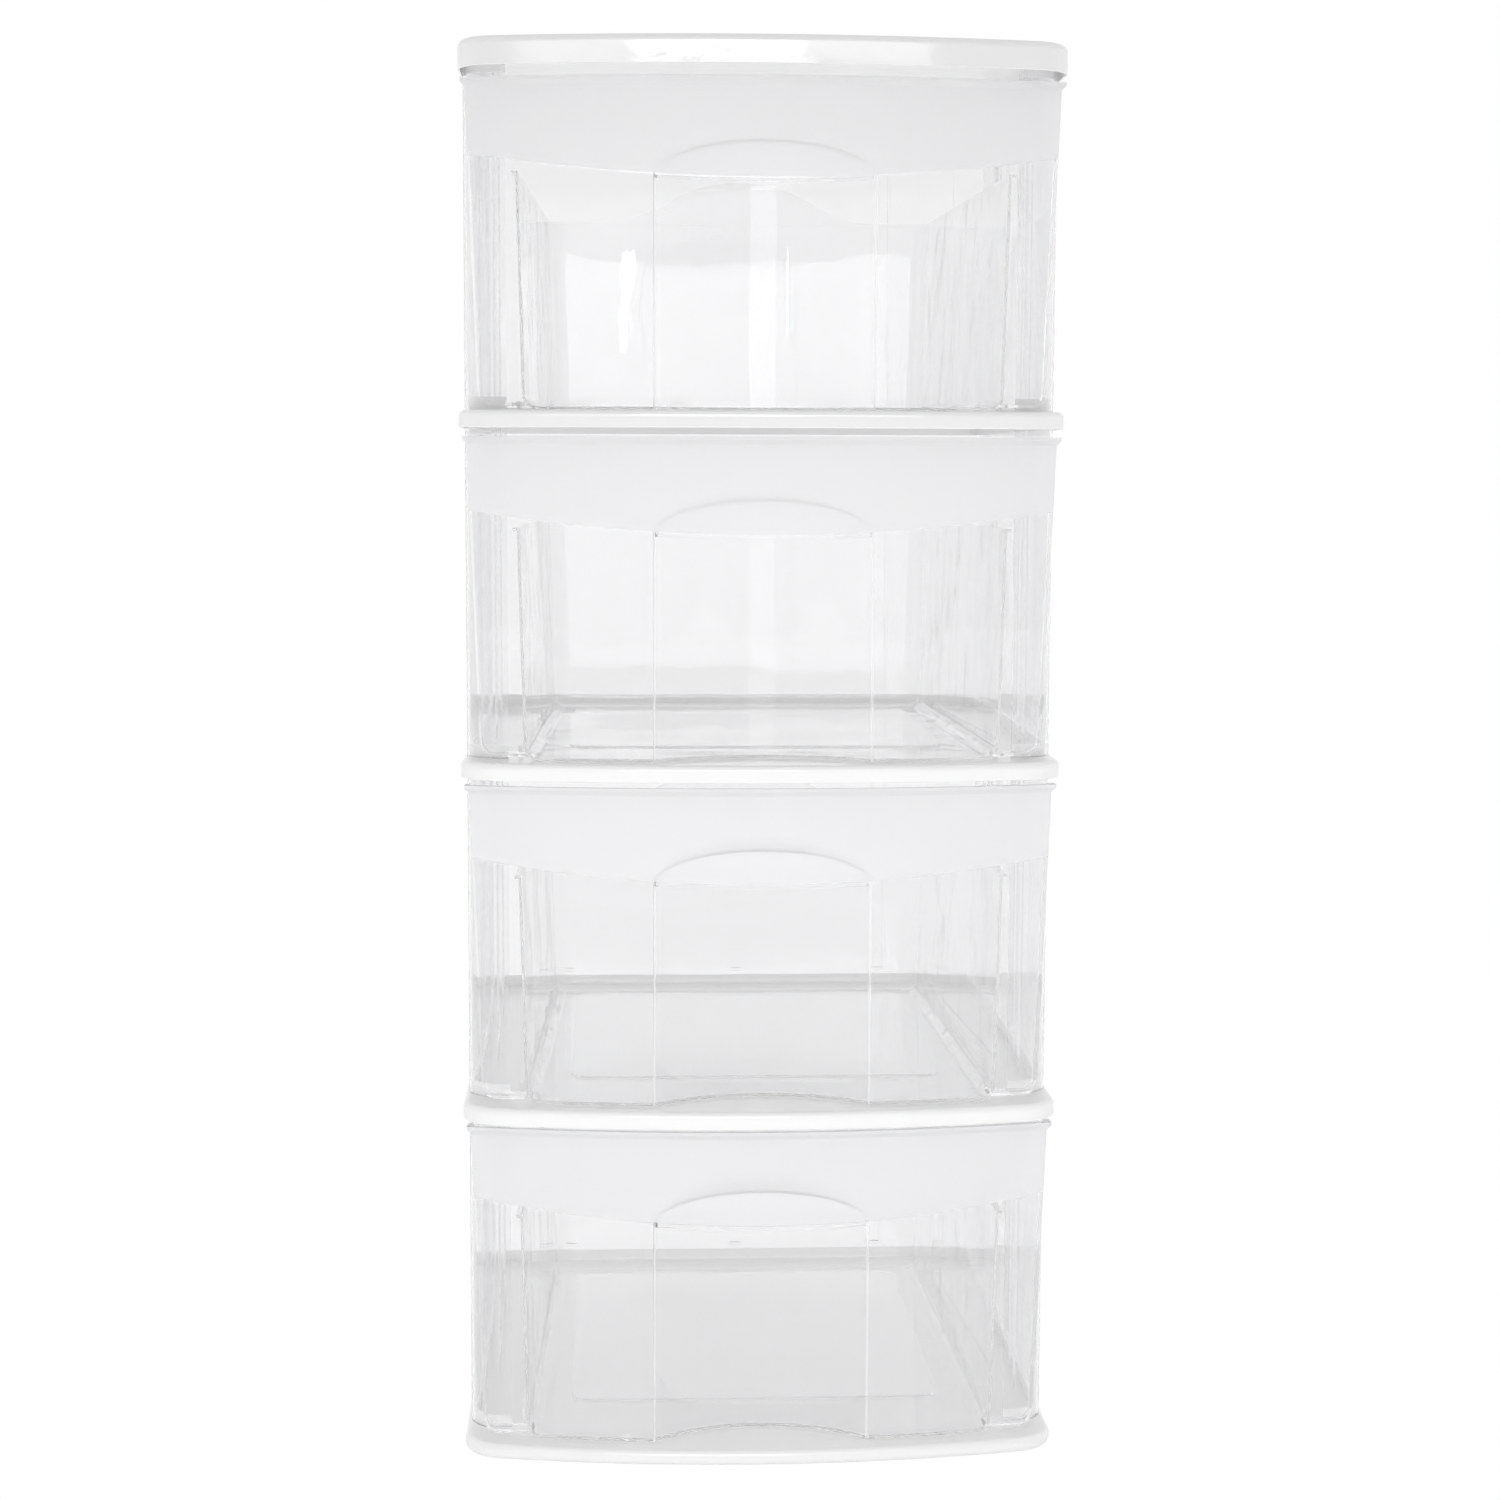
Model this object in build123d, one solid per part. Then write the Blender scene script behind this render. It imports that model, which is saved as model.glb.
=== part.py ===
"""Plastic drawer tower: four see-through drawers in a stacked casing.

The casing is a base tray, three shelves and a lid, all white, held apart by clear side and back panels.
Every storey repeats: a tray, two C-shaped side panels, a ribbed back panel and one drawer.
Millimetres, +Z up, the fronts face -Y, and the origin is on the floor below the middle of the tower.
"""
import os
from math import sqrt

from build123d import *

# ---------------------------------------------------------------- driving dimensions, in mm

# the whole tower
STOREYS = 4
PITCH = 219.0  # from the top of one tray to the top of the next
TRAY_WIDTH = 380.0
TRAY_DEPTH = 440.0  # crown of the bowed front edge to the back edge
BOW_RADIUS = 800.0  # plan curve of the front edges
FRONT_CORNER = 28.0
REAR_CORNER = 14.0
LEAST_ROUND = 0.3  # of a rear corner on the inner side of a wall

# trays: the base and the shelves
BASE_HEIGHT = 9.5
SHELF_EDGE = 11.0
TRAY_PLATE = 2.5
SKIRT_WALL = 2.0  # rim that hangs below the plate, all round
TOP_ROUND = 4.0
BOTTOM_ROUND = 1.0
BASE_ROUND = 4.0
BASE_FOOT = 1.5  # width of the flat ring that the base stands on
COLLAR_HEIGHT = 8.5  # ridge that stands inside the panels' feet
COLLAR_WALL = 2.0
GUIDE_HEIGHT = 6.0  # low rails that keep a drawer straight
GUIDE_WALL = 2.5
GUIDE_ROUND = 1.0
GUIDE_LENGTH = 340.0
BASE_RIB = 2.5
BASE_RIBS = 5

# lid
LID_HEIGHT = 18.0
LID_INSET = 0.8  # the lid is this much narrower than the trays, on every side
LID_ROUND = 5.0
LID_LEDGE = 8.0  # ledge that the top panels carry

# casing panels
PANEL_WALL = 1.8
PANEL_INSET = 2.5  # from the edge of a tray to the outside of a panel
POST_SETBACK = 49.0  # from the crown of a tray to the front face of a side panel
POST_CORNER = 24.0
POST_WIDTH = 27.5  # front flange, seen through the drawer fronts
REAR_FLANGE = 22.0
FLUTE_DEPTH = 0.6
FLUTE_PITCH = 3.6
FLUTES = 6
TAB_LENGTH = 24.0
TAB_PLACES = (-70.0, 90.0)
PANEL_FIT = 0.3
SWAGE_WIDTH = 12.0  # stiffening channel pressed into a panel
SWAGE_DEPTH = 3.0
SWAGE_ROUND = 3.0
SWAGE_MARGIN = 11.5  # from the ends of a panel to the ends of its channels
BACK_SWAGE_PLACES = (-128.0, 0.0, 112.0)
SIDE_SWAGE_PLACES = (-20.0, 130.0)

# drawer front
FRONT_SETBACK = 17.0  # crown of the drawer front behind the crown of the trays
FRONT_BOTTOM = 2.5  # above the tray
FRONT_TOP = 203.0
FRONT_HALF_TOP = 185.0
FRONT_HALF_BOTTOM = 177.5
FRONT_BOTTOM_CORNER = 9.0
FRONT_WALL = 2.0
FRONT_CLEARANCE = 2.0  # between the edge of a drawer front and the posts
RIM_PROUD = 2.5
RIM_THICK = 2.0
RIM_FLARE = 3.0

# finger pull in the drawer front
PULL_HALF = 68.0
PULL_DEPTH = 30.0  # deepest point of the channel behind the crown of the front
CREASE_ROUND = 1.5  # where the channel breaks out of the bowed face
PULL_CROWN_DROP = 40.0  # top of the pocket below the rim
PULL_ARCH_RISE = 22.0  # the pocket's top is half an ellipse, this high
VISOR_DROP = 64.0  # lower edge of the hood below the rim, in the middle
VISOR_RADIUS = 1135.0
VISOR_HALF = 82.0  # past the creases of the pull

# drawer tub
TUB_WALL = 1.8
TUB_RUNNING_GAP = 0.3  # below the floor
TUB_HEIGHT = 146.0  # top of the side walls above the tray
TUB_HALF_FRONT = 154.0
TUB_HALF_REAR = 143.0
TUB_DRAFT = 4.0  # each side wall leans in this much towards the floor
TUB_REAR_GAP = 30.0  # between the back wall and the back edge of the tray
TUB_CORNER = 14.0
TUB_FLOOR_ROUND = 8.0
TUB_RIM = 2.5
TUB_RIM_THICK = 1.8
GUIDE_GAP = 2.0
HUMP_HEIGHT = 30.0  # raised middle of the back wall, a crown between two hollow feet
HUMP_HALF = 106.0
HUMP_CROWN_HALF = 57.0
FLOOR_PANEL_HALF = 122.0
FLOOR_PANEL_LENGTH = 290.0
FLOOR_PANEL_RISE = 1.0
FLOOR_PANEL_CORNER = 14.0

# ---------------------------------------------------------------- places worked out from them

TRAY_CROWN = -TRAY_DEPTH / 2
TRAY_BACK = TRAY_DEPTH / 2
PANEL_HEIGHT = PITCH - TRAY_PLATE
POST_FACE = TRAY_CROWN + POST_SETBACK
FRONT_CROWN = TRAY_CROWN + FRONT_SETBACK
FRONT_CENTRE = FRONT_CROWN + BOW_RADIUS
FRONT_BACK = POST_FACE - FRONT_CLEARANCE
TUB_BACK = TRAY_BACK - TUB_REAR_GAP
TUB_FLOOR = TUB_RUNNING_GAP + TUB_WALL
LID_TOP = BASE_HEIGHT + STOREYS * PITCH - SHELF_EDGE + LID_HEIGHT
FAR = 400.0  # past every face of a drawer
NEAR = 50.0  # past the rim or the foot of a drawer
AHEAD = 100.0  # past its bowed face


def tray_level(storey):
    """Height of the surface that the drawer of this storey runs on; storey 0 is the lowest."""
    return BASE_HEIGHT + storey * PITCH


def sagitta(radius, half_chord):
    """How far an arc of this radius stands out from its chord."""
    return radius - sqrt(radius**2 - half_chord**2)


def radius_of(half_chord, rise):
    """Radius of the arc that stands out this far from its chord."""
    return (half_chord**2 + rise**2) / (2 * rise)


# ---------------------------------------------------------------- trays and lid


def tray_plan(inset):
    """Outline of a tray, drawn in by inset: bowed front, straight sides, rounded corners."""
    half = TRAY_WIDTH / 2 - inset
    crown = TRAY_CROWN + inset
    back = TRAY_BACK - inset
    shoulder = crown + sagitta(BOW_RADIUS - inset, half)
    bow = ThreePointArc((-half, shoulder), (0, crown), (half, shoulder))
    rest = Polyline((half, shoulder), (half, back), (-half, back), (-half, shoulder))
    outline = make_face(bow.edges() + rest.edges())
    outline = fillet(outline.vertices().sort_by(Axis.Y)[:2], FRONT_CORNER - inset)
    return fillet(outline.vertices().sort_by(Axis.Y)[-2:], max(REAR_CORNER - inset, LEAST_ROUND))


def panel_plan(inset, wall, front_tip, rear_tip):
    """Left-hand C: a wall at this inset, from a tip behind the drawer front round to one at the back."""

    def filled(depth):
        half = TRAY_WIDTH / 2 - depth
        front = POST_FACE + depth - PANEL_INSET
        back = TRAY_BACK - depth
        block = Pos(0, (front + back) / 2) * Rectangle(2 * half, back - front)
        grown = depth - PANEL_INSET
        block = fillet(block.vertices().sort_by(Axis.Y)[:2], POST_CORNER - grown)
        return fillet(block.vertices().sort_by(Axis.Y)[-2:], max(REAR_CORNER - depth, LEAST_ROUND))

    ring = filled(inset) - filled(inset + wall)
    middle = (POST_FACE + TRAY_BACK) / 2
    front_part = Pos(-TRAY_WIDTH / 2, middle - TRAY_DEPTH / 2) * Rectangle(2 * front_tip, TRAY_DEPTH)
    rear_part = Pos(-TRAY_WIDTH / 2, middle + TRAY_DEPTH / 2) * Rectangle(2 * rear_tip, TRAY_DEPTH)
    return ring & (front_part + rear_part)


def both_sides(left):
    """A left-hand shape and its mirror image."""
    return left + mirror(left, Plane.YZ)


def tab_slots(level):
    """Holes in a tray for the tabs at the feet of the side panels."""
    x = TRAY_WIDTH / 2 - PANEL_INSET - PANEL_WALL / 2
    hole = Box(PANEL_WALL + 2 * PANEL_FIT, TAB_LENGTH + 2 * PANEL_FIT, 3 * TRAY_PLATE)
    return [Pos(side * x, y, level) * hole for side in (-1, 1) for y in TAB_PLACES]


def collars(level, height):
    """Ridge inside the panels, round both sides and along the back."""
    inset = PANEL_INSET + PANEL_WALL + PANEL_FIT
    ridge = panel_plan(inset, COLLAR_WALL, POST_WIDTH + PANEL_INSET, TRAY_WIDTH / 2)
    return Pos(0, 0, level) * extrude(both_sides(ridge), height)


def guides(level):
    """Two low rails beside the foot of the tub."""
    x = TUB_HALF_FRONT - TUB_DRAFT + GUIDE_GAP + GUIDE_WALL / 2
    y = TRAY_BACK - TUB_REAR_GAP - GUIDE_LENGTH / 2
    rail = Box(GUIDE_WALL, GUIDE_LENGTH, GUIDE_HEIGHT)
    rail = fillet(rail.edges().filter_by(Axis.Z), GUIDE_ROUND)
    z = level + GUIDE_HEIGHT / 2
    return [Pos(-x, y, z) * rail, Pos(x, y, z) * rail]


def dish(level, edge, top_round, bottom_round, inset=0.0, wall=SKIRT_WALL):
    """Plate with a rounded edge and a skirt, hollow below."""
    body = Pos(0, 0, level - edge) * extrude(tray_plan(inset), edge)
    body = fillet(body.faces().sort_by(Axis.Z)[-1].edges(), top_round)
    body = fillet(body.faces().sort_by(Axis.Z)[0].edges(), bottom_round)
    return body - Pos(0, 0, level - edge) * extrude(tray_plan(inset + wall), edge - TRAY_PLATE)


def shelf(storey):
    """Tray between two storeys, socketed for the panels above and below."""
    level = tray_level(storey)
    under = SHELF_EDGE - TRAY_PLATE
    body = dish(level, SHELF_EDGE, TOP_ROUND, BOTTOM_ROUND)
    body += collars(level - SHELF_EDGE, under)
    body += collars(level, COLLAR_HEIGHT)
    body += guides(level)
    return body - tab_slots(level)


def base_tray():
    """Lowest tray: its skirt and the ribs below it stand on the floor."""
    level = tray_level(0)
    under = level - TRAY_PLATE
    wall = BASE_ROUND + BASE_FOOT
    body = dish(level, BASE_HEIGHT, TOP_ROUND, BASE_ROUND, 0, wall)
    half = TRAY_WIDTH / 2 - wall
    span = TRAY_DEPTH - 2 * FRONT_CORNER
    for i in range(BASE_RIBS):
        y = -span / 2 + span * (i + 0.5) / BASE_RIBS
        body += Pos(0, y, under / 2) * Box(2 * half, BASE_RIB, under)
    body += collars(level, COLLAR_HEIGHT)
    body += guides(level)
    return body - tab_slots(level)


def top_lid():
    """Cover with a deep rounded edge, whose inner ledge rests on the topmost panels."""
    panels_top = tray_level(STOREYS) - TRAY_PLATE
    wall = PANEL_INSET - PANEL_FIT - LID_INSET
    body = dish(LID_TOP, LID_HEIGHT, LID_ROUND, BOTTOM_ROUND / 2, LID_INSET, wall)
    ledge = extrude(tray_plan(LID_INSET + wall) - tray_plan(LID_LEDGE), LID_TOP - TRAY_PLATE - panels_top)
    body += Pos(0, 0, panels_top) * ledge
    return body + collars(panels_top - SHELF_EDGE + TRAY_PLATE, SHELF_EDGE - TRAY_PLATE)


# ---------------------------------------------------------------- casing panels


def flutes():
    """Fine upright grooves in the front face of the left post."""
    first = -TRAY_WIDTH / 2 + PANEL_INSET + POST_WIDTH - FLUTE_PITCH
    groove = Rectangle(FLUTE_PITCH / 2, 2 * FLUTE_DEPTH)
    return [Pos(first - i * FLUTE_PITCH, POST_FACE) * groove for i in range(FLUTES)]


def left_panel(storey):
    """Clear side wall with a fluted post in front, a flange behind and two tabs in its foot."""
    plan = panel_plan(PANEL_INSET, PANEL_WALL, POST_WIDTH + PANEL_INSET, REAR_FLANGE + PANEL_INSET)
    sheet = extrude(plan - flutes(), PANEL_HEIGHT)
    x = -TRAY_WIDTH / 2 + PANEL_INSET + PANEL_WALL
    swage_height = PANEL_HEIGHT - 2 * SWAGE_MARGIN
    for y in SIDE_SWAGE_PLACES:
        sheet = swaged(sheet, Pos(x, y, PANEL_HEIGHT / 2), swage_height)
    tab = Box(PANEL_WALL, TAB_LENGTH, TRAY_PLATE)
    for y in TAB_PLACES:
        sheet += Pos(x - PANEL_WALL / 2, y, -TRAY_PLATE / 2) * tab
    return Pos(0, 0, tray_level(storey)) * sheet


def swaged(sheet, place, height):
    """Press an upright channel into a wall; place is on its inner face, with +X into the casing."""
    outer = Box(SWAGE_DEPTH, SWAGE_WIDTH, height, align=(Align.MIN, Align.CENTER, Align.CENTER))
    inner_size = (SWAGE_DEPTH, SWAGE_WIDTH - 2 * PANEL_WALL, height - 2 * PANEL_WALL)
    inner = Box(*inner_size, align=(Align.MIN, Align.CENTER, Align.CENTER))
    outer = fillet(outer.edges().filter_by(Axis.X), SWAGE_ROUND)
    return sheet + place * outer - place * Pos(-PANEL_WALL, 0, 0) * inner


def back_panel(storey):
    """Clear sheet between the rear flanges, with upright channels."""
    half = TRAY_WIDTH / 2 - PANEL_INSET - REAR_FLANGE - PANEL_FIT
    y = TRAY_BACK - PANEL_INSET - PANEL_WALL
    sheet = Pos(0, y + PANEL_WALL / 2, PANEL_HEIGHT / 2) * Box(2 * half, PANEL_WALL, PANEL_HEIGHT)
    swage_height = PANEL_HEIGHT - 2 * SWAGE_MARGIN
    for x in BACK_SWAGE_PLACES:
        place = Pos(x, y, PANEL_HEIGHT / 2) * Rot(0, 0, -90)
        sheet = swaged(sheet, place, swage_height)
    return Pos(0, 0, tray_level(storey)) * sheet


# ---------------------------------------------------------------- drawer, drawn on a tray at z = 0


def behind_bow(proud=0.0):
    """Everything behind the bowed face of a drawer front, or behind a face that is this much prouder."""
    return Pos(0, FRONT_CENTRE, FRONT_TOP / 2) * Cylinder(BOW_RADIUS + proud, 2 * FAR)


def elevation(*corners):
    """Closed outline in front view from (x, z) corners."""
    return Plane.XZ * make_face(Polyline(*corners, close=True).edges())


def pushed_forward(outline):
    """Solid from the back of a drawer front out past its face."""
    return Pos(0, FRONT_BACK, 0) * extrude(outline, AHEAD)


def front_half_at(z):
    """Half width of the drawer front at a height: it narrows towards the bottom."""
    share = (z - FRONT_BOTTOM) / (FRONT_TOP - FRONT_BOTTOM)
    return FRONT_HALF_BOTTOM + share * (FRONT_HALF_TOP - FRONT_HALF_BOTTOM)


def front_outline(inset, top):
    """Front view of the drawer front, drawn in at the sides and the bottom."""
    low = FRONT_BOTTOM + inset
    bottom = front_half_at(low) - inset
    upper = front_half_at(top) - inset
    outline = elevation((-bottom, low), (bottom, low), (upper, top), (-upper, top))
    return fillet(outline.vertices().sort_by(Axis.Z)[:2], FRONT_BOTTOM_CORNER - inset)


def rim():
    """Flange along the top of the drawer front, flared out of its face and sides."""
    start = FRONT_TOP - RIM_THICK - RIM_FLARE
    edge = FRONT_TOP - RIM_THICK
    low = front_half_at(start)
    wide = front_half_at(FRONT_TOP) + RIM_PROUD
    right = [(low, start), (wide, edge), (wide, FRONT_TOP)]
    left = [(-x, z) for x, z in reversed(right)]
    cone = Cone(BOW_RADIUS, BOW_RADIUS + RIM_PROUD, RIM_FLARE)
    disc = Cylinder(BOW_RADIUS + RIM_PROUD, RIM_THICK)
    flare = Pos(0, FRONT_CENTRE, start + RIM_FLARE / 2) * cone
    flare += Pos(0, FRONT_CENTRE, edge + RIM_THICK / 2) * disc
    return pushed_forward(elevation(*right, *left)) & flare


def drawer_front():
    """Bowed front with returned sides and bottom, and the flange on top."""
    solid = (pushed_forward(front_outline(0, FRONT_TOP)) & behind_bow()) + rim()
    hollow = pushed_forward(front_outline(FRONT_WALL, FRONT_TOP + NEAR)) & behind_bow(-FRONT_WALL)
    return solid - hollow


def tub_outline(inset, draft):
    """Plan of the tub: it narrows to the back, and its open front lies ahead of the drawer front."""
    slope = (TUB_HALF_FRONT - TUB_HALF_REAR) / (TUB_BACK - FRONT_CROWN)
    ahead = FRONT_CROWN - TUB_CORNER
    front = TUB_HALF_FRONT + slope * TUB_CORNER - inset - draft
    rear = TUB_HALF_REAR - inset - draft
    back = TUB_BACK - inset
    corners = [(-front, ahead), (front, ahead), (rear, back), (-rear, back)]
    outline = make_face(Polyline(*corners, close=True).edges())
    return fillet(outline.vertices().sort_by(Axis.Y)[-2:], TUB_CORNER - inset)


def tub_block(inset, low, high):
    """Drafted block between two heights."""
    span = TUB_HEIGHT - TUB_RUNNING_GAP
    faces = []
    for z in (low, high):
        draft = TUB_DRAFT * (TUB_HEIGHT - z) / span
        faces.append(Pos(0, 0, z) * tub_outline(inset, draft))
    return loft(faces, ruled=True)


def rounded_foot(block, radius):
    """Round the lower edges of a drafted block, but not the one at the drawer front."""
    foot = block.faces().sort_by(Axis.Z)[0]
    front = foot.edges().sort_by(Axis.Y)[0]
    return fillet([edge for edge in foot.edges() if edge != front], radius)


def tub_cavity():
    """Inside of the tub."""
    return rounded_foot(tub_block(TUB_WALL, TUB_FLOOR, TUB_HEIGHT + TUB_WALL), TUB_FLOOR_ROUND)


def hump():
    """Raised middle of the back wall: it catches under the tray above when the drawer is tipped."""
    foot_half = HUMP_HALF - HUMP_CROWN_HALF
    turn = HUMP_HEIGHT * HUMP_CROWN_HALF / HUMP_HALF  # from the crest down to where crown meets foot
    crown_radius = radius_of(HUMP_CROWN_HALF, turn)
    foot_radius = radius_of(foot_half, HUMP_HEIGHT - turn)
    crest = TUB_HEIGHT + HUMP_HEIGHT
    middle = TUB_HEIGHT + sagitta(foot_radius, foot_half / 2)
    root = TUB_HEIGHT - TUB_RIM_THICK
    crown = ThreePointArc((-HUMP_CROWN_HALF, crest - turn), (0, crest), (HUMP_CROWN_HALF, crest - turn))
    edges = crown.edges()
    for side in (-1, 1):
        start = (side * HUMP_CROWN_HALF, crest - turn)
        end = (side * HUMP_HALF, TUB_HEIGHT)
        edges += ThreePointArc(start, (side * (HUMP_HALF - foot_half / 2), middle), end).edges()
    corners = [(-HUMP_HALF, TUB_HEIGHT), (-HUMP_HALF, root), (HUMP_HALF, root), (HUMP_HALF, TUB_HEIGHT)]
    profile = Plane.XZ * make_face(edges + Polyline(*corners).edges())
    return Pos(0, TUB_BACK, 0) * extrude(profile, TUB_WALL)


def tub_rim():
    """Narrow flange round the top of the tub."""
    ring = tub_outline(-TUB_RIM, 0) - tub_outline(TUB_WALL, 0)
    return Pos(0, 0, TUB_HEIGHT - TUB_RIM_THICK) * extrude(ring, TUB_RIM_THICK)


def floor_panel():
    """Slightly raised field in the floor of the tub."""
    y = TUB_BACK - TUB_WALL - TUB_CORNER - TUB_FLOOR_ROUND - FLOOR_PANEL_LENGTH / 2
    field = RectangleRounded(2 * FLOOR_PANEL_HALF, FLOOR_PANEL_LENGTH, FLOOR_PANEL_CORNER)
    return Pos(0, y, TUB_FLOOR) * extrude(field, FLOOR_PANEL_RISE)


def tub():
    """Open box behind the drawer front."""
    outside = rounded_foot(tub_block(0, TUB_RUNNING_GAP, TUB_HEIGHT), TUB_FLOOR_ROUND + TUB_WALL)
    walls = outside + tub_rim()
    walls = (walls & behind_bow()) - (tub_cavity() & behind_bow(-FRONT_WALL))
    return walls + hump() + floor_panel()


def arch_outline(half, rise, crown):
    """Front view of a tall opening under half an ellipse, from below the drawer up to its crown."""
    spring = crown - rise
    legs = Pos(0, (spring - NEAR) / 2) * Rectangle(2 * half, spring + NEAR)
    return Plane.XZ * (Pos(0, spring) * Ellipse(half, rise) + legs)


def crease_depth():
    """Where the bowed face meets the channel."""
    return FRONT_CROWN + sagitta(BOW_RADIUS, PULL_HALF)


def channel_circle():
    """Radius of the channel and the place of its axis: it is deepest in the middle of the drawer."""
    deepest = FRONT_CROWN + PULL_DEPTH
    radius = radius_of(PULL_HALF, deepest - crease_depth())
    return radius, deepest - radius


def channel(grown=0.0):
    """Upright cylinder that hollows the front out between the two creases of the pull."""
    radius, centre = channel_circle()
    return Pos(0, centre, FRONT_TOP / 2) * Cylinder(radius + grown, 2 * FAR)


def pull_pocket(grown=0.0):
    """Space for the fingers: the channel up to its arched top, behind the bowed face."""
    outline = arch_outline(PULL_HALF + grown, PULL_ARCH_RISE + grown, FRONT_TOP - PULL_CROWN_DROP + grown)
    return pushed_back(outline) & channel(grown)


def pushed_back(outline):
    """Solid from ahead of the drawer front to behind the channel."""
    return Pos(0, FRONT_CROWN + 2 * PULL_DEPTH, 0) * extrude(outline, 4 * PULL_DEPTH)


def below_visor():
    """Everything lower than the edge of the hood, which sags towards the middle."""
    low = FRONT_TOP - VISOR_DROP
    side = low + sagitta(VISOR_RADIUS, VISOR_HALF)
    edge = ThreePointArc((VISOR_HALF, side), (0, low), (-VISOR_HALF, side))
    legs = Polyline((-VISOR_HALF, side), (-VISOR_HALF, -NEAR), (VISOR_HALF, -NEAR), (VISOR_HALF, side))
    return pushed_back(Plane.XZ * make_face(edge.edges() + legs.edges()))


def outside_creases():
    """What is cut off to round the two creases."""
    radius, centre = channel_circle()
    sharp = Pos(0, FRONT_CENTRE) * Circle(BOW_RADIUS) - Pos(0, centre) * Circle(radius)
    corners = [v for v in sharp.vertices() if abs(v.Y - crease_depth()) < CREASE_ROUND]
    rounded = fillet(corners, CREASE_ROUND)
    near = [Pos(x, crease_depth()) * Circle(CREASE_ROUND) for x in (-PULL_HALF, PULL_HALF)]
    return Pos(0, 0, -NEAR) * extrude(near[0] + near[1] - rounded, FRONT_TOP + NEAR)


def drawer():
    """One moulding: bowed front with a hooded finger pull, and the tub behind it."""
    above_tray = Pos(0, 0, TUB_RUNNING_GAP + FAR) * Box(2 * FAR, 2 * FAR, 2 * FAR)
    bulge = pull_pocket(FRONT_WALL) & behind_bow() & above_tray
    shell = (drawer_front() - (tub_cavity() & behind_bow(-FRONT_WALL))) + tub() + bulge
    pocket = pull_pocket()
    shell -= pocket & behind_bow(-FRONT_WALL)
    shell -= pocket & below_visor()
    return shell - (outside_creases() & below_visor())


# ---------------------------------------------------------------- the assembly


def build():
    """Every sub-part, under its node's name, in place. Storeys are numbered from the top."""
    parts = {"top_lid": top_lid(), "base_tray": base_tray()}
    moulding = drawer()
    for number in range(1, STOREYS + 1):
        storey = STOREYS - number
        if storey:
            parts[f"shelf_{number}"] = shelf(storey)
        side = left_panel(storey)
        parts[f"left_panel_{number}"] = side
        parts[f"right_panel_{number}"] = mirror(side, Plane.YZ)
        parts[f"back_panel_{number}"] = back_panel(storey)
        parts[f"drawer_{number}"] = Pos(0, 0, tray_level(storey)) * moulding
    return parts


def main():
    os.makedirs("parts", exist_ok=True)
    for name, shape in build().items():
        export_step(shape, f"parts/{name}.step")


main()
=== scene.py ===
"""Looks of the plastic drawer tower: clear drawers in a casing of clear panels and white trays.

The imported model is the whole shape. This script gives every node its plastic, then adds the floor,
the lamps and the camera. Metres, +Z up, the drawer fronts face -Y.
"""
import math

import bpy
from mathutils import Matrix, Vector

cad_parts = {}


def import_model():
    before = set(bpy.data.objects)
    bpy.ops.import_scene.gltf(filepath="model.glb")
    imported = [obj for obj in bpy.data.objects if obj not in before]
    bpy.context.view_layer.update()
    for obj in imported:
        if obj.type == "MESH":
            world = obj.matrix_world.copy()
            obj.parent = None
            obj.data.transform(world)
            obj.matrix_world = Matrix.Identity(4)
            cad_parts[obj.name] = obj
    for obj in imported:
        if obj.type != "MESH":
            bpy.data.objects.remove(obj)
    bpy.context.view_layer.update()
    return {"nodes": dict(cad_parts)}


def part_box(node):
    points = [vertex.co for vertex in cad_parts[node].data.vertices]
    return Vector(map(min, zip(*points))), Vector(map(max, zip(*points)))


# ---------------------------------------------------------------- camera, as the photograph was taken

CAMERA_PLACE = (-0.09225, -1.9404, 0.63595)
CAMERA_TILT = math.radians(5.91)  # down
CAMERA_YAW = math.radians(2.76)  # towards +X
CAMERA_ROLL = math.radians(0.2)
FOCAL_PIXELS = 2800.0
PICTURE_PIXELS = 1500.0
SENSOR = 36.0  # mm

# ---------------------------------------------------------------- finishes

# white mouldings
WHITE = (0.83, 0.83, 0.832)
WHITE_IOR = 1.5
WHITE_GLOSS = 1.0  # specular level
WHITE_ROUGHNESS = (0.05, 0.12)  # it wanders between these two
WHITE_PATCHES = 0.03  # over patches of this size
WHITE_DIMPLES = 0.012
WHITE_DIMPLE_DEPTH = 0.00012

# clear sheet of the casing
PANEL_TINT = (0.93, 0.931, 0.936)
PANEL_IOR = 1.42
PANEL_ROUGHNESS = (0.03, 0.08)
PANEL_PATCHES = 0.05

# clear drawers, and what they share with the sheet
CLEAR_TINT = (0.957, 0.958, 0.961)
CLEAR_IOR = 1.46
CLEAR_ROUGHNESS = 0.02
CLEAR_SEE_THROUGH = 0.95  # the rest is the plastic's own haze
CLEAR_WAVES = 0.06
CLEAR_WAVE_DEPTH = 0.0003
LIGHT_TINT = (0.99, 0.99, 0.99)  # of the lamps' light behind a clear wall

# the frosted band along the top of a drawer front
BAND_DROP = 0.061  # its lower edge below the rim, in the middle
BAND_RADIUS = 1.135  # that edge curves up towards the sides
BAND_BLUR = 0.0006
BAND_REACH = 0.062  # how far back from the crown of the front it goes
FROST_TINT = (0.895, 0.896, 0.903)
FROST_ROUGHNESS = 0.5
FROST_SEE_THROUGH = 0.65
FROST_STEP = 0.4  # how deep it lies, as a share of CLEAR_WAVE_DEPTH

# the two creases of the finger pull, paler than the rest as a painted highlight, and the raised field
# in the floor, paler from its own haze and partly as painted light
CREASE_HALF = 0.068
CREASE_DEPTH = 0.0054  # behind the rim
CREASE_WIDTH = 0.0012
CREASE_SEE_THROUGH = 0.65
FIELD_HALF = 0.122
FIELD_BACK = 0.024  # from the back of the tub
FIELD_LENGTH = 0.29
FIELD_TOP = 0.004  # above the foot of the tub
FIELD_SEE_THROUGH = 0.72

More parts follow.
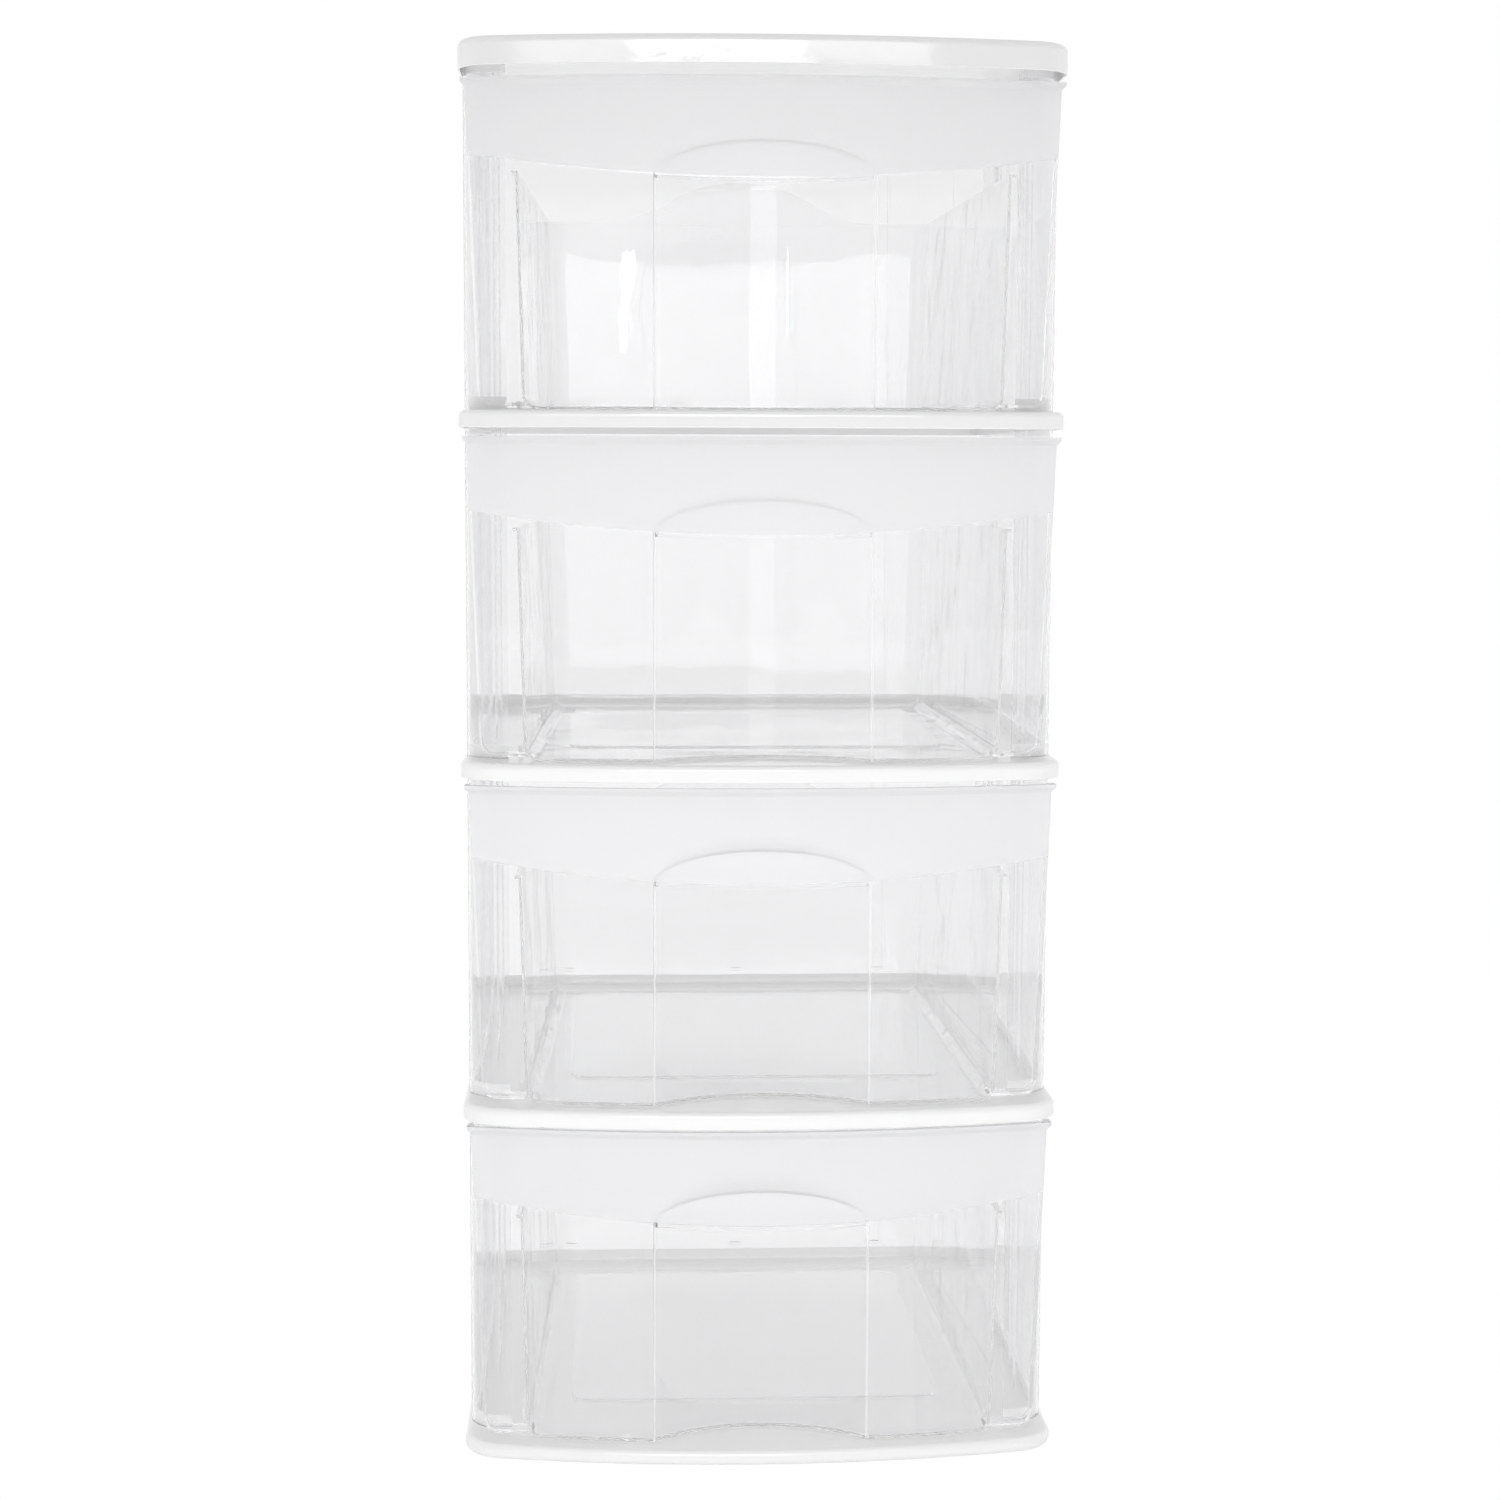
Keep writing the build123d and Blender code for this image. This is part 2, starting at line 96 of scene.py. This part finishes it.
# pale floor
FLOOR_COLOUR = (0.88, 0.88, 0.88)
FLOOR_ROUGHNESS = 0.6
FLOOR_GLOW_STRENGTH = 1.02
FLOOR_GLOW = 0.95  # share of the floor's look that is plain white, without the tower's shadow
FLOOR_HALF = 8.0

# ---------------------------------------------------------------- light

WORLD_LIGHT = 0.75
SURROUNDINGS = 1.0  # how bright the white surroundings look, straight and through plastic
BACKDROP_MIRRORED = 1.0  # and in reflections, behind the tower
ROOM_MIRRORED = 0.45  # and in front of it, where the room is dimmer
ROOM_SIDE = -0.6  # Y of the direction up to which the room is this dim
BACKDROP_SIDE = 0.2  # and from which the backdrop is this bright

# lamps that stand behind the camera for reflections alone: name, middle in X and Z,
# width and height, and brightness beside 1 for the white surroundings
LAMP_PLANE = -2.6
LAMPS = (
    ("softbox", (-0.13, 1.62), (0.88, 0.84), 4.5),  # only the lid mirrors the softboxes
    ("left_softbox", (-0.9, 1.62), (0.6, 0.84), 1.5),
    ("right_softbox", (0.665, 1.62), (0.68, 0.84), 1.8),
    ("window", (0.12, 0.95), (0.76, 0.46), 2.05),  # the back of the top drawer mirrors it
    ("low_window", (0.12, 0.36), (0.76, 0.5), 1.15),  # and the next drawer mirrors this one
    ("flash", (-0.6, 0.885), (0.035, 0.12), 30.0),  # narrow lines of light in the top front
)

# broad lamps that light the tower: name, middle, width and height, and brightness
FILLS = (
    ("front_fill", (-0.05, -1.3, 0.24), (1.8, 0.6), 2.1),  # low: the upper storeys get less of it
    ("back_fill", (0, 2.2, 0.9), (3.0, 1.8), 0.6),
    ("left_fill", (-2.0, 0.9, 0.75), (2.2, 1.5), 0.85),
    ("right_fill", (2.0, 0.9, 0.75), (2.2, 1.5), 0.85),
)

BOUNCES = 24  # light passes up to eight clear walls, and has to get out of their edges again
DIFFUSE_BOUNCES = 8
TRAPPED_DEPTH = 14  # after this many turns inside the plastic, light ends in a plain glow
SCATTERED_DEPTH = 2.5  # and so does light that the white parts have scattered more often than this
TRAPPED_LIGHT = 0.8


def camera_axes():
    """Right, up and backward axes of the camera, from its tilt, yaw and roll."""
    ahead = Vector((
        math.sin(CAMERA_YAW) * math.cos(CAMERA_TILT),
        math.cos(CAMERA_YAW) * math.cos(CAMERA_TILT),
        -math.sin(CAMERA_TILT),
    ))
    level_right = Vector((math.cos(CAMERA_YAW), -math.sin(CAMERA_YAW), 0))
    level_up = level_right.cross(ahead)
    right = level_right * math.cos(CAMERA_ROLL) + level_up * math.sin(CAMERA_ROLL)
    up = level_up * math.cos(CAMERA_ROLL) - level_right * math.sin(CAMERA_ROLL)
    return Matrix((right, up, -ahead)).transposed()


def add_camera():
    """Camera with the place, direction and focal length of the photograph's."""
    data = bpy.data.cameras.new("photo_camera")
    data.sensor_width = SENSOR
    data.lens = FOCAL_PIXELS / PICTURE_PIXELS * SENSOR
    camera = bpy.data.objects.new("photo_camera", data)
    camera.matrix_world = Matrix.Translation(CAMERA_PLACE) @ camera_axes().to_4x4()
    bpy.context.scene.collection.objects.link(camera)
    bpy.context.scene.camera = camera


# ---------------------------------------------------------------- materials


class Nodes:
    """Short names for the nodes of one material, world or lamp."""

    def __init__(self, owner):
        owner.use_nodes = True
        self.tree = owner.node_tree

    def add(self, kind, **settings):
        """New node of this kind."""
        node = self.tree.nodes.new(kind)
        for name, value in settings.items():
            setattr(node, name, value)
        return node

    def link(self, source, target):
        """Join an output to an input."""
        self.tree.links.new(source, target)

    def light_path(self):
        """What is known of the ray."""
        return self.add("ShaderNodeLightPath").outputs

    def place(self, space="Object"):
        """X, Y and Z of the point or direction."""
        coordinates = self.add("ShaderNodeTexCoord")
        parts = self.add("ShaderNodeSeparateXYZ")
        self.link(coordinates.outputs[space], parts.inputs[0])
        return tuple(parts.outputs)

    def math(self, operation, first, second=0.0):
        """Math node; its inputs are numbers or sockets."""
        node = self.add("ShaderNodeMath", operation=operation)
        for socket, value in zip(node.inputs, (first, second)):
            if isinstance(value, (int, float)):
                socket.default_value = value
            else:
                self.link(value, socket)
        return node.outputs[0]

    def product(self, first, *others):
        """Product of numbers and sockets."""
        for other in others:
            first = self.math("MULTIPLY", first, other)
        return first

    def either(self, first, *others):
        """1 where any of these is 1."""
        for other in others:
            first = self.math("MAXIMUM", first, other)
        return first

    def ramp(self, value, low, high, from_low=0.0, from_high=1.0):
        """Map Range node: from_low becomes low and from_high becomes high."""
        node = self.add("ShaderNodeMapRange")
        self.link(value, node.inputs["Value"])
        ends = {"From Min": from_low, "From Max": from_high, "To Min": low, "To Max": high}
        for name, number in ends.items():
            node.inputs[name].default_value = number
        return node.outputs["Result"]

    def noise(self, size):
        """Noise in the object's own space, with grains of about this size."""
        coordinates = self.add("ShaderNodeTexCoord")
        node = self.add("ShaderNodeTexNoise")
        node.inputs["Scale"].default_value = 1 / size
        self.link(coordinates.outputs["Object"], node.inputs["Vector"])
        return node.outputs["Fac"]

    def blend(self, share, first, second):
        """Colour between two colours."""
        node = self.add("ShaderNodeMix", data_type="RGBA")
        self.link(share, node.inputs["Factor"])
        colours = [socket for socket in node.inputs if socket.type == "RGBA"]
        for socket, colour in zip(colours, (first, second)):
            socket.default_value = (*colour, 1)
        return next(socket for socket in node.outputs if socket.type == "RGBA")

    def bump(self, height, depth, shader):
        """Unevenness of the shader's surface."""
        node = self.add("ShaderNodeBump")
        node.inputs["Strength"].default_value = 1.0
        node.inputs["Distance"].default_value = depth
        self.link(height, node.inputs["Height"])
        self.link(node.outputs["Normal"], shader.inputs["Normal"])

    def glow(self, strength):
        """White emission."""
        node = self.add("ShaderNodeEmission")
        node.inputs["Strength"].default_value = strength
        return node

    def mix(self, share, first, second):
        """Shader between two shaders."""
        node = self.add("ShaderNodeMixShader")
        self.link(share, node.inputs["Fac"])
        self.link(first.outputs[0], node.inputs[1])
        self.link(second.outputs[0], node.inputs[2])
        return node

    def surface(self, shader):
        """Make this shader the material's surface."""
        self.link(shader.outputs[0], self.tree.nodes["Material Output"].inputs["Surface"])


def plastic(name, colour, ior):
    """New material with one Principled shader, and its Nodes."""
    material = bpy.data.materials.new(name)
    nodes = Nodes(material)
    shader = nodes.tree.nodes["Principled BSDF"]
    shader.inputs["Base Color"].default_value = (*colour, 1)
    shader.inputs["IOR"].default_value = ior
    return material, nodes, shader


def let_light_through(nodes, shader):
    """Lamps and scattered light pass the clear walls straight on, as they nearly do in thin sheet.

    Light that would be lost inside the plastic or between the white parts ends in a pale glow.
    """
    path = nodes.light_path()
    straight = nodes.add("ShaderNodeBsdfTransparent")
    straight.inputs["Color"].default_value = (*LIGHT_TINT, 1)
    passing = nodes.either(path["Is Shadow Ray"], path["Is Diffuse Ray"])
    wall = nodes.mix(passing, shader, straight)
    trapped = nodes.math("GREATER_THAN", path["Ray Depth"], TRAPPED_DEPTH)
    scattered = nodes.math("GREATER_THAN", path["Diffuse Depth"], SCATTERED_DEPTH)
    nodes.surface(nodes.mix(nodes.either(trapped, scattered), wall, nodes.glow(TRAPPED_LIGHT)))


def white_plastic():
    """Glossy white moulding with a faint unevenness."""
    material, nodes, shader = plastic("white_casing", WHITE, WHITE_IOR)
    shader.inputs["Specular IOR Level"].default_value = WHITE_GLOSS
    nodes.link(nodes.ramp(nodes.noise(WHITE_PATCHES), *WHITE_ROUGHNESS), shader.inputs["Roughness"])
    nodes.bump(nodes.noise(WHITE_DIMPLES), WHITE_DIMPLE_DEPTH, shader)
    return material


def panel_plastic():
    """Clear sheet of the casing."""
    material, nodes, shader = plastic("clear_panel", PANEL_TINT, PANEL_IOR)
    shader.inputs["Transmission Weight"].default_value = CLEAR_SEE_THROUGH
    nodes.link(nodes.ramp(nodes.noise(PANEL_PATCHES), *PANEL_ROUGHNESS), shader.inputs["Roughness"])
    nodes.bump(nodes.noise(CLEAR_WAVES), CLEAR_WAVE_DEPTH, shader)
    let_light_through(nodes, shader)
    return material


def frosting(nodes, place, rim_height, crown):
    """1 on the frosted band of a drawer front, 0 elsewhere."""
    x, y, z = place
    rise = nodes.product(x, x, 0.5 / BAND_RADIUS)
    above = nodes.math("SUBTRACT", nodes.math("SUBTRACT", z, rim_height - BAND_DROP), rise)
    band = nodes.ramp(above, 0, 1, -BAND_BLUR, BAND_BLUR)
    return nodes.product(band, nodes.math("LESS_THAN", y, crown + BAND_REACH))


def crease_lines(nodes, place, crown):
    """1 along the two upright creases of the finger pull, where they are painted paler as a
    highlight, 0 elsewhere.
    """
    x, y, _ = place
    across = nodes.math("SUBTRACT", nodes.math("ABSOLUTE", x), CREASE_HALF)
    ahead = nodes.math("SUBTRACT", y, crown + CREASE_DEPTH)
    squares = nodes.math("ADD", nodes.product(across, across), nodes.product(ahead, ahead))
    return nodes.ramp(nodes.math("SQRT", squares), 1, 0, CREASE_WIDTH / 2, CREASE_WIDTH)


def floor_field(nodes, place, low, high):
    """1 on the raised field in the floor of the tub, which is painted paler, 0 elsewhere."""
    x, y, z = place
    within = nodes.math("LESS_THAN", nodes.math("ABSOLUTE", x), FIELD_HALF)
    behind = nodes.math("GREATER_THAN", y, high.y - FIELD_BACK - FIELD_LENGTH)
    ahead = nodes.math("LESS_THAN", y, high.y - FIELD_BACK)
    flat = nodes.math("LESS_THAN", z, low.z + FIELD_TOP)
    return nodes.product(within, behind, ahead, flat)


def drawer_plastic(node):
    """Clear drawer whose front is frosted along the top."""
    low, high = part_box(node)
    material, nodes, shader = plastic("clear_" + node, CLEAR_TINT, CLEAR_IOR)
    place = nodes.place()
    frost = frosting(nodes, place, high.z, low.y)
    crease = nodes.product(crease_lines(nodes, place, low.y), nodes.math("SUBTRACT", 1.0, frost))
    field = floor_field(nodes, place, low, high)
    # painted highlight: the creases are made less see-through, so they look paler, standing in for
    # the light their rounded edges mirror
    painted_crease_highlight = nodes.product(crease, CLEAR_SEE_THROUGH - CREASE_SEE_THROUGH)
    # the raised field is made less see-through: partly the field's own haze, partly painted light
    # that brightens the floor where little light reaches
    field_haze_and_painted_light = nodes.product(field, CLEAR_SEE_THROUGH - FIELD_SEE_THROUGH)
    clear = nodes.ramp(frost, CLEAR_SEE_THROUGH, FROST_SEE_THROUGH)
    clear = nodes.math("SUBTRACT", clear, painted_crease_highlight)
    clear = nodes.math("SUBTRACT", clear, field_haze_and_painted_light)
    nodes.link(clear, shader.inputs["Transmission Weight"])
    nodes.link(nodes.ramp(frost, CLEAR_ROUGHNESS, FROST_ROUGHNESS), shader.inputs["Roughness"])
    nodes.link(nodes.blend(frost, CLEAR_TINT, FROST_TINT), shader.inputs["Base Color"])
    height = nodes.math("SUBTRACT", nodes.noise(CLEAR_WAVES), nodes.product(frost, FROST_STEP))
    nodes.bump(height, CLEAR_WAVE_DEPTH, shader)
    let_light_through(nodes, shader)
    return material


def dress(frame):
    """Give every node its plastic."""
    white = white_plastic()
    clear = panel_plastic()
    for name, piece in frame["nodes"].items():
        if "panel" in name:
            material = clear
        elif name.startswith("drawer"):
            material = drawer_plastic(name)
        else:
            material = white
        for slot in piece.material_slots:
            slot.material = material


# ---------------------------------------------------------------- surroundings


def add_world():
    """White surroundings, which light the tower less than they look."""
    world = bpy.data.worlds.new("white_room")
    bpy.context.scene.world = world
    nodes = Nodes(world)
    background = nodes.tree.nodes["Background"]
    background.inputs["Color"].default_value = (1, 1, 1, 1)
    path = nodes.light_path()
    seen = nodes.either(path["Is Camera Ray"], path["Is Transmission Ray"])
    _, y, _ = nodes.place("Generated")
    room = ROOM_MIRRORED - WORLD_LIGHT
    backdrop = BACKDROP_MIRRORED - WORLD_LIGHT
    around = nodes.ramp(y, room, backdrop, ROOM_SIDE, BACKDROP_SIDE)
    plain = nodes.math("ADD", nodes.product(path["Is Glossy Ray"], around), WORLD_LIGHT)
    strength = nodes.math("MAXIMUM", nodes.product(seen, SURROUNDINGS), plain)
    nodes.link(strength, background.inputs["Strength"])


def floor_finish():
    """Matt and pale for the light, and nearly as white as the surroundings to look at."""
    material, nodes, shader = plastic("pale_floor", FLOOR_COLOUR, WHITE_IOR)
    shader.inputs["Roughness"].default_value = FLOOR_ROUGHNESS
    path = nodes.light_path()
    seen = nodes.either(path["Is Camera Ray"], path["Is Transmission Ray"], path["Is Glossy Ray"])
    nodes.surface(nodes.mix(nodes.product(seen, FLOOR_GLOW), shader, nodes.glow(FLOOR_GLOW_STRENGTH)))
    return material


def add_floor():
    """Pale floor that keeps the tower's shadow."""
    corners = [(x * FLOOR_HALF, y * FLOOR_HALF, 0) for x, y in ((-1, -1), (1, -1), (1, 1), (-1, 1))]
    mesh = bpy.data.meshes.new("floor")
    mesh.from_pydata(corners, [], [(0, 1, 2, 3)])
    mesh.materials.append(floor_finish())
    floor = bpy.data.objects.new("floor", mesh)
    bpy.context.scene.collection.objects.link(floor)


def add_lamp(name, place, target, size, brightness):
    """Flat lamp of this brightness, beside 1 for the white surroundings."""
    width, height = size
    data = bpy.data.lights.new(name, "AREA")
    data.shape = "RECTANGLE"
    data.size = width
    data.size_y = height
    data.energy = brightness * math.pi * width * height
    lamp = bpy.data.objects.new(name, data)
    aim = Vector(target) - Vector(place)
    lamp.matrix_world = Matrix.Translation(place) @ aim.to_track_quat("-Z", "Y").to_matrix().to_4x4()
    bpy.context.scene.collection.objects.link(lamp)
    return lamp


def mirrored_inside(lamp):
    """Show the lamp only in what the inner walls of the drawers mirror, seen through their fronts."""
    nodes = Nodes(lamp.data)
    mirrored = nodes.math("GREATER_THAN", nodes.light_path()["Glossy Depth"], 0.5)
    nodes.link(mirrored, nodes.tree.nodes["Emission"].inputs["Strength"])
    lamp.visible_glossy = False


def add_lamps():
    """Softboxes, windows and a flash for reflections, and the broad lamps that light the tower."""
    for name, (x, z), size, brightness in LAMPS:
        lamp = add_lamp(name, (x, LAMP_PLANE, z), (x, 0, z), size, brightness)
        lamp.visible_diffuse = False
        if "window" in name:
            mirrored_inside(lamp)
    for name, place, size, brightness in FILLS:
        fill = add_lamp(name, place, (0, 0, place[2]), size, brightness)
        fill.visible_glossy = False
        fill.visible_transmission = False
        fill.visible_camera = False


def main():
    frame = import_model()
    add_camera()
    dress(frame)
    add_world()
    add_floor()
    add_lamps()
    scene = bpy.context.scene
    scene.view_settings.view_transform = "Standard"
    scene.cycles.max_bounces = BOUNCES
    scene.cycles.transmission_bounces = BOUNCES
    scene.cycles.glossy_bounces = BOUNCES
    scene.cycles.diffuse_bounces = DIFFUSE_BOUNCES


main()
